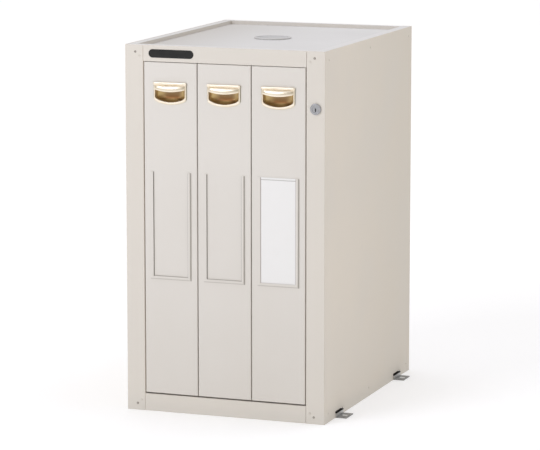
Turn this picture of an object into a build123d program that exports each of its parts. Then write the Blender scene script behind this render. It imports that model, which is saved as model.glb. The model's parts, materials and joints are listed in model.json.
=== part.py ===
"""Free-standing steel cabinet for chemicals with three tall pull-out racks.

Millimetres, +Z up, the front faces -Y and +X is to the right of someone facing it.
The origin is on the floor, under the middle of the overall box.
"""
import os
from build123d import *

os.makedirs("parts", exist_ok=True)

# Cabinet body
cabinet_width = 455.0
cabinet_depth = 600.0
cabinet_height = 800.0
sheet = 1.2
bend = 1.8
fit_gap = 0.3
overcut = 1.0
post_width = 42.0
post_lip = 20.0
rear_flange = 22.0
top_rail_height = 35.0
bottom_rail_height = 38.0
rail_return = 34.0
rail_lip = 10.0
rail_seam = 0.3

# Pressed top and base
rim_width = 20.0
top_sunk = 8.0
top_flange = 30.0
base_flange = 24.0
vent_hole = 70.0
vent_cover_width = 82.0
vent_cover_rise = 3.6
vent_cover_rim = 3.5
vent_cover_dish = 2.0
vent_cover_facets = 64

# Back wall
back_bead_width = 24.0
back_bead_depth = 3.0
back_bead_count = 2

# Rivets
rivet_head = 5.2
rivet_head_height = 1.0
rivet_facets = 12
rivet_taper = 40.0
front_rivet_spots = ((24.0, 15.0), (33.5, 23.0))
side_rivet_inset = 25.0
side_rivet_level = 20.0

# Nameplate, left blank
nameplate_width = 103.0
nameplate_height = 18.0
nameplate_thick = 0.8
nameplate_inset = 13.0

# Floor anchors
anchor_inset = 97.0
anchor_width = 45.0
anchor_reach = 25.0
anchor_sheet = 2.3
anchor_gap = 0.5
anchor_tongue = 15.0
anchor_slit_width = 50.0
anchor_slit_height = 5.0
anchor_slit_level = 9.5
anchor_hole_width = 8.0
anchor_hole_length = 13.0

# Pull-out racks
rack_count = 3
front_gap = 2.0
front_gap_top = 1.0
front_gap_bottom = 3.0
front_return = 18.0
front_lip = 10.0
thin_sheet = 1.0
rack_side_room = 5.0
rack_end_room = 12.0
rack_rim = 25.0
upright_flange = 15.0
rear_upright_flange = 24.0
tie_width = 40.0
tie_height = 15.0
tray_count = 3
tray_rim = 35.0
tray_play = 0.25

# Telescopic slide under each rack
slide_width = 46.0
slide_height = 12.5
slide_length = 540.0
slide_front_room = 26.0
slide_sheet = 1.5
slide_inner_sheet = 1.2
slide_lip = 5.0
slide_mid_lip = 4.0
slide_play = 0.5
slide_rise = 0.5
slide_hat_width = 27.0

# Guide above each rack
guide_inside = 20.0
guide_drop = 24.0
guide_front_room = 60.0
glide_play = 0.3
glide_length = 22.0
glide_top_room = 2.0

# Cup handle
handle_width = 76.0
handle_height = 48.0
handle_below_top = 78.5
handle_corner = 3.0
handle_low_corner = 9.0
handle_belly = 8.0
handle_rim = 4.0
handle_plate = 3.0
handle_bevel = 2.0
bar_height = 7.5
bar_proud = 4.4
bar_groove = 0.8
hood_drop = 13.5
hood_belly = 4.5
hood_proud = 9.5
hood_side_proud = 5.5
hood_wall = 1.8
hood_curve = ((0.52, 0.86), (0.86, 0.54), (1.0, 0.0))
cup_depth = 15.0
cup_wall = 1.5
cup_play = 0.3

# Card holder and its card
holder_width = 94.0
holder_height = 235.0
holder_below_top = 272.0
holder_sheet = 0.8
holder_foot = 3.4
holder_rail = 7.0
holder_proud = 2.4
card_thick = 1.0
card_side_play = 0.4

# Lock in the right post
lock_below_top = 122.0
lock_body = 18.0
lock_face = 24.0
lock_face_thick = 2.5
lock_body_length = 19.5
lock_hole_play = 0.4
plug_width = 14.0
plug_play = 0.05
plug_recess = 0.5
plug_tail = 7.0
keyway_width = 2.2
keyway_height = 8.0
keyway_depth = 12.0
nut_across = 24.0
nut_thick = 4.0
cam_thick = 2.5
locked_angle = 45.0
cam_width = 12.0
cam_pin = 4.0
cam_pin_length = 4.0

# Bar that locks all the racks together
bar_thick = 2.0
bar_gap = 0.5
bar_drop = 10.0
bar_width = 12.0
bar_leg_width = 16.0
bar_end_inset = 72.0
bar_slot_play = 0.4
bar_head_room = 6.0
bar_tie_room = 12.0
catch_room = 2.5
catch_thick = 2.0
catch_width = 20.0
catch_height = 10.0
catch_foot = 14.0
keeper_width = 10.0
keeper_wall = 2.4
keeper_play = 0.3
keeper_height = 20.0

# Places worked out from the sizes above
half_width = cabinet_width / 2
front = -(cabinet_depth - hood_proud) / 2
back = front + cabinet_depth
top = cabinet_height
opening_width = cabinet_width - 2 * post_width
floor_level = bottom_rail_height
opening_top = top - top_rail_height
front_width = (opening_width - (rack_count + 1) * front_gap) / rack_count
rack_pitch = front_width + front_gap
rack_width = front_width - 2 * rack_side_room
rack_names = ("left", "centre", "right")
rack_centres = [(i - (rack_count - 1) / 2) * rack_pitch for i in range(rack_count)]
front_bottom = floor_level + front_gap_bottom
front_top = opening_top - front_gap_top
rack_floor = floor_level + slide_height + slide_rise
rack_front = front + front_return
rack_back = back - 2 * sheet - rack_end_room
lock_x = half_width - post_width / 2
lock_z = top - lock_below_top
bar_top = opening_top - bar_head_room
bar_bottom = bar_top - bar_width
tie_top = bar_bottom - bar_tie_room
cam_back = front + lock_body_length + bar_gap + cam_thick
bar_front = cam_back + bar_gap
bar_back = bar_front + bar_thick
crank_step = bar_drop / 2
crank_radius = crank_step * 2**0.5
bar_leg_x = lock_x + (crank_step + crank_radius) / 2
hood_low = -bar_height - hood_drop


def block(x, y, z):
    """Rectangular block between two limits on each axis."""
    centre = Pos((x[0] + x[1]) / 2, (y[0] + y[1]) / 2, (z[0] + z[1]) / 2)
    return centre * Box(x[1] - x[0], y[1] - y[0], z[1] - z[0])


def folded(points, thickness, radius, side=Side.LEFT):
    """Section of a folded sheet with one skin running through the points."""
    skin = FilletPolyline(*points, radius=radius)
    return make_face(offset(skin, amount=thickness, side=side).edges())


def rolled(points, thickness, side=Side.LEFT):
    """Section of a rolled strip with tight square corners."""
    skin = Polyline(*points)
    strip = offset(skin, amount=thickness, side=side, kind=Kind.INTERSECTION)
    return make_face(strip.edges())


def along_x(section, start, length):
    """Section drawn in Y and Z, drawn out along X."""
    return Pos(start, 0, 0) * extrude(Plane.YZ * section, length)


def along_y(section, start, length):
    """Section drawn in X and Z, drawn out along +Y."""
    return Pos(0, start, 0) * extrude(Plane.XZ * section, -length)


def folded_pan(x, y, z, thickness, open_side):
    """Pan of even thickness with mitred corners, open upwards or downwards."""
    inside_x = (x[0] + thickness, x[1] - thickness)
    inside_y = (y[0] + thickness, y[1] - thickness)
    if open_side == "up":
        inside_z = (z[0] + thickness, z[1] + thickness)
    else:
        inside_z = (z[0] - thickness, z[1] - thickness)
    return block(x, y, z) - block(inside_x, inside_y, inside_z)


def rivet_places():
    """Front and side rivets: where each one sits and which way its head faces."""
    places = {"front": [], "side": []}
    for side in (-1, 1):
        for inset, level in front_rivet_spots:
            for z in (level, top - level):
                spot = (side * (half_width - inset), front, z)
                places["front"].append(Plane(origin=spot, z_dir=(0, -1, 0)))
        for y in (front + side_rivet_inset, (front + back) / 2, back - side_rivet_inset):
            for z in (side_rivet_level, top - side_rivet_level):
                spot = (side * half_width, y, z)
                places["side"].append(Plane(origin=spot, z_dir=(side, 0, 0)))
    return places


def rivet():
    """Low head with a sloped edge, seated on the sheet."""
    outline = RegularPolygon(rivet_head / 2, rivet_facets)
    return extrude(outline, rivet_head_height, taper=rivet_taper)


# Folded wall with a post at its front
def side_panel():
    """Right side: one folded sheet with the front post, its lip and a rear flange."""
    inner = half_width - post_width
    skin = [
        (inner, front + post_lip),
        (inner, front),
        (half_width, front),
        (half_width, back),
        (half_width - rear_flange, back),
    ]
    panel = extrude(folded(skin, sheet, bend), top)
    lip_x = (inner - overcut, inner + 2 * bend)
    lip_y = (front + sheet, front + post_lip + overcut)
    panel -= block(lip_x, lip_y, (opening_top, top + overcut))
    panel -= block(lip_x, lip_y, (-overcut, floor_level))
    slit_z = (anchor_slit_level, anchor_slit_level + anchor_slit_height)
    for y in anchor_places():
        slit_y = (y - anchor_slit_width / 2, y + anchor_slit_width / 2)
        panel -= block((half_width - 2 * sheet, half_width + overcut), slit_y, slit_z)
    return panel


def anchor_places():
    """Distance of the front and rear floor anchors along the side."""
    return (front + anchor_inset, back - anchor_inset)


def right_side_panel():
    """Right side with the round hole for the lock."""
    hole = Plane(origin=(lock_x, front, lock_z), z_dir=(0, -1, 0)) * Cylinder(
        (lock_body + lock_hole_play) / 2, 4 * sheet
    )
    return side_panel() - hole


def left_side_panel():
    """Left side, the mirror image of the right one."""
    return mirror(side_panel(), about=Plane.YZ)


# Folded top with a sunk floor
def top_form(inset):
    """Block with a pocket in its top, shrunk by an inset on every face but the lowest."""
    edge = half_width - sheet - inset
    rim = half_width - sheet - rim_width + inset
    outer_y = (front + bend + inset, back - bend - inset)
    outer = block((-edge, edge), outer_y, (top - top_flange - 2 * inset, top - inset))
    pocket_y = (front + sheet + rim_width - inset, back - sheet - rim_width + inset)
    pocket = block((-rim, rim), pocket_y, (top - top_sunk - inset, top + overcut))
    outer = fillet(outer.faces().sort_by(Axis.Z)[-1].edges(), bend - inset)
    return outer - pocket


def top_panel():
    """Folded lid: raised rim, sunk floor and a flange riveted inside the walls."""
    middle = (front + back) / 2
    hole = Pos(0, middle, top - top_sunk) * Cylinder(vent_hole / 2, 4 * sheet)
    return top_form(0) - top_form(sheet) - hole


def base_panel():
    """Folded floor of the cabinet with its flange turned down inside the walls."""
    edge = half_width - sheet
    z = (floor_level - base_flange, floor_level)
    return folded_pan((-edge, edge), (front + bend, back - bend), z, sheet, "down")


def back_panel():
    """Flat back with stiffening beads folded across it, seated on the rear flanges."""
    bottom = floor_level
    height = top - top_flange - fit_gap - bottom
    y = back - 2 * sheet
    inner = y - back_bead_depth
    slope = back_bead_depth
    skin = [(y, bottom)]
    for i in range(back_bead_count):
        z = bottom + height * (i + 1) / (back_bead_count + 1)
        half = back_bead_width / 2
        skin += [(y, z - half), (inner, z - half + slope), (inner, z + half - slope), (y, z + half)]
    skin.append((y, bottom + height))
    wide = half_width - bend - fit_gap
    return along_x(rolled(skin, sheet, Side.RIGHT), -wide, 2 * wide)


# Folded rails between the posts
def rail(level_bottom, level_top):
    """Rail between the posts: face, flange running back and a short upright lip."""
    skin = [
        (front, level_top),
        (front, level_bottom),
        (front + rail_return, level_bottom),
        (front + rail_return, level_bottom + rail_lip),
    ]
    length = opening_width - 2 * rail_seam
    return along_x(folded(skin, sheet, bend), -length / 2, length)


def top_front_rail():
    """Rail above the racks."""
    return rail(opening_top, top)


def bottom_front_rail():
    """Rail under the racks, its flange standing on the floor."""
    return rail(0, floor_level)


# Small parts fixed to the body
def vent_cover():
    """Dished disc that closes the round exhaust hole in the top."""
    radius = vent_cover_width / 2
    dish = RegularPolygon(radius - vent_cover_rim, vent_cover_facets)
    dish = extrude(dish, vent_cover_dish + overcut)
    cover = extrude(RegularPolygon(radius, vent_cover_facets), vent_cover_rise)
    cover -= Pos(0, 0, vent_cover_rise - vent_cover_dish) * dish
    return Pos(0, (front + back) / 2, top - top_sunk) * cover


def nameplate():
    """Thin blank plate with round ends on the top rail."""
    plate = extrude(Plane.XZ * SlotOverall(nameplate_width, nameplate_height), nameplate_thick)
    x = -opening_width / 2 + nameplate_inset + nameplate_width / 2
    return Pos(x, front, top - top_rail_height / 2) * plate


def rivets(group):
    """All the rivets of one group, each a solid of its own."""
    return Compound(children=[place * rivet() for place in rivet_places()[group]])


def anchor_bracket():
    """Right-hand floor anchor: slotted foot, step up the wall and tongue through its slit."""
    skin = [
        (half_width + anchor_reach, 0),
        (half_width + anchor_gap, 0),
        (half_width + anchor_gap, anchor_slit_level),
        (half_width - anchor_tongue, anchor_slit_level),
    ]
    bracket = along_y(rolled(skin, anchor_sheet, Side.RIGHT), 0, anchor_width)
    slot = extrude(SlotOverall(anchor_hole_length, anchor_hole_width), 4 * anchor_sheet, both=True)
    return bracket - Pos(anchor_hole_x(), anchor_width / 2, 0) * slot


def anchor_hole_x():
    """Distance of the anchor slots from the middle of the cabinet."""
    return half_width + (anchor_gap + anchor_sheet + anchor_reach) / 2


def anchor_brackets(side):
    """Front and rear anchors of one side."""
    pieces = []
    for y in anchor_places():
        piece = Pos(0, y - anchor_width / 2, 0) * anchor_bracket()
        pieces.append(piece if side > 0 else mirror(piece, about=Plane.YZ))
    return Compound(children=pieces)


def top_guide_channels():
    """Channels under the top that keep the racks upright."""
    under = top - top_sunk - sheet
    half = guide_inside / 2 + sheet
    skin = [(-half, under - guide_drop), (-half, under), (half, under), (half, under - guide_drop)]
    start = front + guide_front_room
    section = rolled(skin, sheet, Side.RIGHT)
    channel = along_y(section, start, back - 2 * sheet - rack_end_room - start)
    return Compound(children=[Pos(x, 0, 0) * channel for x in rack_centres])


# Telescopic slide, three nested members
def slide_outer(x):
    """Fixed member: a channel with lips turned in, screwed to the cabinet floor."""
    half = slide_width / 2
    low = floor_level
    high = low + slide_height
    skin = [(-half + slide_lip, high), (-half, high), (-half, low), (half, low), (half, high)]
    skin.append((half - slide_lip, high))
    section = rolled(skin, slide_sheet)
    return Pos(x, 0, 0) * along_y(section, front + slide_front_room, slide_length)


def slide_mid(x):
    """Middle member, captured inside the fixed one."""
    half = slide_width / 2 - slide_sheet - slide_play
    low = floor_level + slide_sheet + slide_play
    high = floor_level + slide_height - slide_sheet - slide_play
    lip = slide_mid_lip
    skin = [(-half + lip, high), (-half, high), (-half, low), (half, low), (half, high)]
    skin.append((half - lip, high))
    section = rolled(skin, slide_inner_sheet)
    return Pos(x, 0, 0) * along_y(section, front + slide_front_room, slide_length)


def slide_inner(x):
    """Hat-shaped member under the rack, its feet captured inside the middle one."""
    mid_half = slide_width / 2 - slide_sheet - slide_play - slide_inner_sheet
    foot = mid_half - slide_play
    low = floor_level + slide_sheet + 2 * (slide_play + slide_inner_sheet)
    web = slide_hat_width / 2
    high = rack_floor
    skin = [(-foot, low), (-web, low), (-web, high), (web, high), (web, low), (foot, low)]
    section = rolled(skin, slide_inner_sheet, Side.RIGHT)
    return Pos(x, 0, 0) * along_y(section, front + slide_front_room, slide_length)


# Parts of one pull-out rack, made round x = 0
def handle_outline(inset):
    """Front outline of the handle: straight top, straight sides and a curved bottom edge."""
    half = handle_width / 2 - inset
    low = -handle_height + handle_belly + inset
    high = -inset
    with BuildSketch() as outline:
        with BuildLine():
            Line((-half, low), (-half, high))
            Line((-half, high), (half, high))
            Line((half, high), (half, low))
            ThreePointArc((half, low), (0, low - handle_belly), (-half, low))
        make_face()
        low_corners, high_corners = outline.vertices().group_by(Axis.Y)
        fillet(low_corners, handle_low_corner - inset)
        fillet(high_corners, handle_corner if inset < handle_corner else handle_corner / 2)
    return outline.sketch


def window_outline(grow):
    """Finger opening, below the top bar; grow makes it larger all round."""
    inside = handle_outline(handle_rim - grow)
    cut_level = -bar_height - bar_groove + grow
    return inside - Pos(0, cut_level + handle_height) * Rectangle(2 * handle_width, 2 * handle_height)


def forward(sketch, thickness, start=0.0):
    """Front outline made into a plate that stands forward of the rack's front."""
    return Pos(0, front - start, top - handle_below_top) * extrude(Plane.XZ * sketch, thickness)


def hood_form(inset, lower):
    """Hood as a solid turned about an upright axis far behind the front, cut to width."""
    half = handle_width / 2 - handle_rim / 2 - inset
    high = -bar_height / 2 - inset
    rise = high - hood_low
    foot = handle_plate / 2
    reach = hood_proud - inset - foot
    skin = [(-foot, high)]
    skin += [(-foot - reach * out, hood_low + rise * up) for out, up in hood_curve]
    skin += [(-foot - reach, hood_low - lower), (foot, hood_low - lower), (foot, high)]
    section = Plane.YZ * make_face(Polyline(*skin, close=True))
    swing = hood_proud - hood_side_proud
    turning_radius = (half**2 + swing**2) / (2 * swing)
    axis = Axis((0, turning_radius - hood_proud, 0), (0, 0, 1))
    span = block((-half, half), (-2 * hood_proud, 0), (hood_low - lower - overcut, 0))
    return revolve(section, axis) & span


def below_hood():
    """Region under the hood's lower edge, which hangs lowest in the middle."""
    half = handle_width / 2
    low = hood_low - handle_height
    with BuildSketch() as region:
        with BuildLine():
            left, right = (-half, hood_low + hood_belly), (half, hood_low + hood_belly)
            ThreePointArc(left, (0, hood_low), right)
            Polyline(right, (half, low), (-half, low), left)
        make_face()
    return extrude(Plane.XZ * region.sketch, 2 * hood_proud)


def handle_face():
    """Moulded front of the handle: rim, top bar and the hood over the finger opening."""
    half = handle_width / 2
    rim = extrude(Plane.XZ * (handle_outline(0) - window_outline(0)), handle_plate)
    rim = chamfer(rim.faces().sort_by(Axis.Y)[0].outer_wire().edges(), handle_bevel)
    section = Pos(-bar_proud / 2, -bar_height / 2) * Rectangle(bar_proud, bar_height)
    section = fillet(section.vertices().group_by(Axis.X)[0], bar_height / 3)
    bar = along_x(section, -half, handle_width)
    hood = hood_form(0, hood_belly) - hood_form(hood_wall, handle_height) - below_hood()
    groove_z = (-bar_height - bar_groove, -bar_height)
    groove = block((-half, half), (-2 * hood_proud, -handle_plate / 2), groove_z)
    return Pos(0, front, top - handle_below_top) * (rim + (hood - groove) + bar)


def handle_cup():
    """Shell behind the finger opening, set through the rack's front."""
    outer = extrude(Plane.XZ * window_outline(cup_wall), -cup_depth)
    inner = extrude(Plane.XZ * window_outline(0), -(cup_depth - cup_wall))
    return Pos(0, front, top - handle_below_top) * (outer - inner)


def rack_front_panel():
    """Folded front of the rack with returns, rear lips and the opening for the handle."""
    half = front_width / 2
    solid = block((-half, half), (front, rack_front), (front_bottom, front_top))
    solid = fillet(solid.faces().sort_by(Axis.Y)[0].edges(), bend)
    panel = offset(solid, amount=-thin_sheet, openings=solid.faces().sort_by(Axis.Y)[-1])
    lip_y = (rack_front - thin_sheet, rack_front)
    skin = half - thin_sheet / 2
    low = front_bottom + thin_sheet / 2
    high = front_top - thin_sheet / 2
    lip = block((-skin, skin), lip_y, (low, high))
    inside = half - front_lip
    lip -= block((-inside, inside), lip_y, (front_bottom + front_lip, front_top - front_lip))
    return panel + lip - forward(window_outline(cup_wall + cup_play), 4 * thin_sheet, -2 * thin_sheet)


def carriage():
    """Welded frame of the rack: base pan, two uprights and a tie along the top."""
    half = rack_width / 2
    pan_z = (rack_floor, rack_floor + rack_rim)
    frame = folded_pan((-half, half), (rack_front, rack_back), pan_z, thin_sheet, "up")
    front_skin = [
        (-half, rack_front + upright_flange),
        (-half, rack_front),
        (half, rack_front),
        (half, rack_front + upright_flange),
    ]
    rear_skin = [
        (half, rack_back - rear_upright_flange),
        (half, rack_back),
        (-half, rack_back),
        (-half, rack_back - rear_upright_flange),
    ]
    foot = rack_floor + bend
    frame += Pos(0, 0, foot) * extrude(rolled(front_skin, thin_sheet), tie_top - foot)
    glide_seat = opening_top - bar_head_room
    frame += Pos(0, 0, foot) * extrude(rolled(rear_skin, thin_sheet), glide_seat - foot)
    seat_y = (rack_back - rear_upright_flange, rack_back - thin_sheet / 2)
    seat_half = half - thin_sheet / 2
    frame += block((-seat_half, seat_half), seat_y, (glide_seat - thin_sheet, glide_seat))
    tie_half = tie_width / 2
    tie_low = tie_top - tie_height
    tie_skin = [(-tie_half, tie_low), (-tie_half, tie_top), (tie_half, tie_top), (tie_half, tie_low)]
    tie_length = rack_back - rack_front - thin_sheet
    section = rolled(tie_skin, thin_sheet, Side.RIGHT)
    return frame + along_y(section, rack_front + thin_sheet / 2, tie_length)


def lock_catch():
    """Angle welded on the tie; its upright leg stands behind the lowered locking bar."""
    leg = bar_back + catch_room
    skin = [(leg, tie_top + catch_height), (leg, tie_top), (leg + catch_foot, tie_top)]
    return along_x(rolled(skin, catch_thick), -catch_width / 2, catch_width)


def tray(index):
    """Shelf tray that hangs between the uprights."""
    half = rack_width / 2 - thin_sheet - tray_play
    pitch = (tie_top - tie_height - rack_floor) / (tray_count + 1)
    low = rack_floor + pitch * (index + 1)
    y = (rack_front + thin_sheet, rack_back - thin_sheet)
    return folded_pan((-half, half), y, (low, low + tray_rim), thin_sheet, "up")


def top_glide():
    """Moulded block on the rear upright that runs in the channel under the top."""
    half = guide_inside / 2 - glide_play
    high = top - top_sunk - 2 * sheet - glide_top_room
    y = (rack_back - thin_sheet - glide_length, rack_back - thin_sheet)
    glide = block((-half, half), y, (bar_top, high))
    return chamfer(glide.edges().filter_by(Axis.Z), half / 4)


def holder_ring(outer_inset, inner_inset):
    """U-shaped outline, open at the top, between two insets from the holder's edge."""
    outer = Rectangle(holder_width - 2 * outer_inset, holder_height - outer_inset)
    inner = Rectangle(holder_width - 2 * inner_inset, holder_height - inner_inset)
    return Pos(0, outer_inset / 2) * outer - Pos(0, inner_inset / 2) * inner


def card_holder():
    """Card holder: a Z-shaped rail round three sides, open at the top."""
    foot = extrude(Plane.XZ * holder_ring(0, holder_foot), holder_sheet)
    step = extrude(Plane.XZ * holder_ring(holder_foot - holder_sheet, holder_foot), holder_proud)
    lip = extrude(Plane.XZ * holder_ring(holder_foot - holder_sheet, holder_rail), holder_sheet)
    lip = Pos(0, -(holder_proud - holder_sheet), 0) * lip
    return Pos(0, front, top - holder_below_top - holder_height / 2) * (foot + step + lip)


def label_card():
    """Blank white card, standing in the holder of the right rack."""
    width = holder_width - 2 * (holder_foot + card_side_play)
    low = top - holder_below_top - holder_height + holder_foot + card_side_play
    high = top - holder_below_top
    play = (holder_proud - holder_sheet - card_thick) / 2
    y = (front - play - card_thick, front - play)
    x = rack_centres[-1]
    return block((x - width / 2, x + width / 2), y, (low, high))


# Lock in the right post, local Z pointing out of its face
def at_lock(shape):
    """Put a shape made round the lock's axis in its place in the post."""
    return Plane(origin=(lock_x, front, lock_z), x_dir=(1, 0, 0), z_dir=(0, -1, 0)) * shape


def turned(radius, low, high):
    """Cylinder on the lock's axis between two depths."""
    return Pos(0, 0, low) * Cylinder(
        radius, high - low, align=(Align.CENTER, Align.CENTER, Align.MIN)
    )


def lock_housing():
    """Turned barrel with a round face, set through the post."""
    body = turned(lock_body / 2, -lock_body_length, 0)
    face = turned(lock_face / 2, 0, lock_face_thick)
    bore = turned(plug_width / 2 + plug_play, -lock_body_length - overcut, lock_face_thick + overcut)
    return at_lock(body + face - bore)


def square_tail(shoulder):
    """Square tail behind the plug's shoulder, as long as the cam is thick."""
    return Pos(0, 0, shoulder) * Box(
        plug_tail, plug_tail, cam_thick, align=(Align.CENTER, Align.CENTER, Align.MAX)
    )


def lock_plug():
    """Keyed plug that turns in the housing, with the tail that carries the cam."""
    shoulder = -lock_body_length - bar_gap
    plug = turned(plug_width / 2, shoulder, lock_face_thick - plug_recess)
    plug += square_tail(shoulder)
    slot_top = lock_face_thick + overcut
    slot = Box(keyway_width, keyway_height, keyway_depth, align=(Align.CENTER, Align.MAX, Align.MAX))
    return at_lock(plug - Pos(0, keyway_height / 4, slot_top) * slot)


def lock_cam():
    """Flat cam on the plug's tail, with the pin that lifts and drops the bar."""
    shoulder = -lock_body_length - bar_gap
    outline = Rectangle(crank_radius + cam_width, cam_width)
    outline = chamfer(outline.vertices(), cam_width / 4)
    arm = Rot(0, 0, locked_angle) * Pos(crank_radius / 2, 0) * outline
    plate = Pos(0, 0, shoulder - cam_thick) * extrude(arm, cam_thick)
    plate -= square_tail(shoulder)
    pin_low = shoulder - cam_thick - cam_pin_length
    pin = Pos(crank_step, crank_step, 0) * turned(cam_pin / 2, pin_low, shoulder - cam_thick)
    return at_lock(plate + pin)


def lock_nut():
    """Hexagon nut that clamps the housing behind the post."""
    hexagon = RegularPolygon(nut_across / 2, 6, major_radius=False) - Circle(lock_body / 2)
    return at_lock(Pos(0, 0, -sheet - nut_thick) * extrude(hexagon, nut_thick))


# Bar that drops in front of the catches of all the racks
def lock_bar():
    """Flat L-shaped bar: a leg at the lock and an arm across the tops of the racks."""
    pin_z = lock_z + crank_step
    leg_x = (bar_leg_x - bar_leg_width / 2, bar_leg_x + bar_leg_width / 2)
    y = (bar_front, bar_back)
    bar = block((-half_width + bar_end_inset, leg_x[1]), y, (bar_bottom, bar_top))
    bar += block(leg_x, y, (pin_z - bar_width, bar_top))
    slot_length = crank_radius - crank_step + 2 * cam_pin
    slot = SlotOverall(slot_length, cam_pin + 2 * bar_slot_play)
    slot = extrude(Plane.XZ * slot, 2 * bar_thick, both=True)
    return bar - Pos(bar_leg_x, bar_front, pin_z) * slot


def lock_bar_keepers():
    """Moulded keepers that guide the bar: two under the top rail, one in the right post."""
    y = (bar_front - keeper_play - keeper_wall, bar_back + keeper_play + keeper_wall)
    slot_y = (bar_front - keeper_play, bar_back + keeper_play)
    keepers = []
    for x in (-rack_pitch / 2, rack_pitch / 2):
        x_span = (x - keeper_width / 2, x + keeper_width / 2)
        keeper = block(x_span, y, (opening_top - keeper_height, opening_top))
        slot_x = (x_span[0] - overcut, x_span[1] + overcut)
        slot_z = (opening_top - keeper_height - overcut, bar_top + keeper_play)
        keepers.append(keeper - block(slot_x, slot_y, slot_z))
    slot_half = bar_leg_width / 2 + keeper_play
    slot_x = (bar_leg_x - slot_half, bar_leg_x + slot_half)
    keeper_z = (lock_z + nut_across, lock_z + nut_across + keeper_height)
    keeper = block((slot_x[0] - keeper_wall, half_width - sheet), y, keeper_z)
    slot_z = (keeper_z[0] - overcut, keeper_z[1] + overcut)
    keepers.append(keeper - block(slot_x, slot_y, slot_z))
    return Compound(children=keepers)


parts = {
    "left_side_panel": left_side_panel(),
    "right_side_panel": right_side_panel(),
    "back_panel": back_panel(),
    "top_panel": top_panel(),
    "base_panel": base_panel(),
    "top_front_rail": top_front_rail(),
    "bottom_front_rail": bottom_front_rail(),
    "vent_cover": vent_cover(),
    "nameplate": nameplate(),
    "front_rivets": rivets("front"),
    "side_rivets": rivets("side"),
    "left_anchor_brackets": anchor_brackets(-1),
    "right_anchor_brackets": anchor_brackets(1),
    "top_guide_channels": top_guide_channels(),
    "lock_housing": lock_housing(),
    "lock_nut": lock_nut(),
    "lock_bar_keepers": lock_bar_keepers(),
    "lock_plug": lock_plug(),
    "lock_cam": lock_cam(),
    "lock_bar": lock_bar(),
    "label_card": label_card(),
}

for rack_name, rack_x in zip(rack_names, rack_centres):
    place = Pos(rack_x, 0, 0)
    parts[f"{rack_name}_slide_outer"] = slide_outer(rack_x)
    parts[f"{rack_name}_slide_mid"] = slide_mid(rack_x)
    parts[f"{rack_name}_slide_inner"] = slide_inner(rack_x)
    parts[f"{rack_name}_front"] = place * rack_front_panel()
    parts[f"{rack_name}_carriage"] = place * carriage()
    parts[f"{rack_name}_lock_catch"] = place * lock_catch()
    parts[f"{rack_name}_handle_face"] = place * handle_face()
    parts[f"{rack_name}_handle_cup"] = place * handle_cup()
    parts[f"{rack_name}_card_holder"] = place * card_holder()
    parts[f"{rack_name}_top_glide"] = place * top_glide()
    for tray_index in range(tray_count):
        parts[f"{rack_name}_tray_{tray_index + 1}"] = place * tray(tray_index)

for name, shape in parts.items():
    export_step(shape, f"parts/{name}.step")
print(len(parts), "sub-parts written")
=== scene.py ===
import json
import math
import bmesh
import bpy
import numpy as np
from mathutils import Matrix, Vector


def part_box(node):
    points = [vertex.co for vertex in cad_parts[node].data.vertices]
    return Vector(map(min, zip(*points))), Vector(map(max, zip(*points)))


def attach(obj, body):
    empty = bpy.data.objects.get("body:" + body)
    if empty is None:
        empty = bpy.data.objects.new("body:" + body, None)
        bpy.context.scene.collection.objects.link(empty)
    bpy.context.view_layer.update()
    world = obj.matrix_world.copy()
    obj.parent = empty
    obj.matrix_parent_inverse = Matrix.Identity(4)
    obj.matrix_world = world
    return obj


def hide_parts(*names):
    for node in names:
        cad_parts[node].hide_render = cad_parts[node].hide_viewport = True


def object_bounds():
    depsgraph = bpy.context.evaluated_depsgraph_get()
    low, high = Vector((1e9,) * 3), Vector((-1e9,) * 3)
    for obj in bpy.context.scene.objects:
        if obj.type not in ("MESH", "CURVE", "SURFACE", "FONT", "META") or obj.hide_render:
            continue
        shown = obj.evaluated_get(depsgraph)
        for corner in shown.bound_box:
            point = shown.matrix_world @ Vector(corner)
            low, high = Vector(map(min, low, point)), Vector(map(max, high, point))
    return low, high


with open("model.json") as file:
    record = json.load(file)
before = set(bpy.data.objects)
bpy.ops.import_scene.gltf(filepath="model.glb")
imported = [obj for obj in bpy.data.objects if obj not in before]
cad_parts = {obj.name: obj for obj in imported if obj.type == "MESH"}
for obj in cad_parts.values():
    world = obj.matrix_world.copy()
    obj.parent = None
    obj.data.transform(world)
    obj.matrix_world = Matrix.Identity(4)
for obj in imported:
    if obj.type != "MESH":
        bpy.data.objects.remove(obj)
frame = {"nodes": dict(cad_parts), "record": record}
cad_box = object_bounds()


# Body: folded steel walls, rails, base and back, coated as one with a warm light grey baked
# powder. The coat is even and satin, with a faint orange-peel skin over the slow waves of thin
# sheet, and a little dust and rubbing near the floor.
wall_tone = (0.735, 0.690, 0.628, 1)
wall_low_tone = (0.680, 0.648, 0.600, 1)
# The side tones are painted light and shade: faces to the left and right are painted warmer, and
# darker from front to back.
side_front_shade_tone = (0.779, 0.711, 0.622, 1)
side_back_shade_tone = (0.700, 0.641, 0.556, 1)
wall_roughness = 0.46
paint_index = 1.45
cloud_size = 0.22
grain_size = 0.004
speck_size = 0.0012
wave_size = 0.16
wave_height = 0.0005
peel_size = 0.0016
peel_height = 0.000010
scuff_height = 0.045
fold_edge = 0.0004
weld_gap = 0.000002
sharp_angle = math.radians(40)


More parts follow.
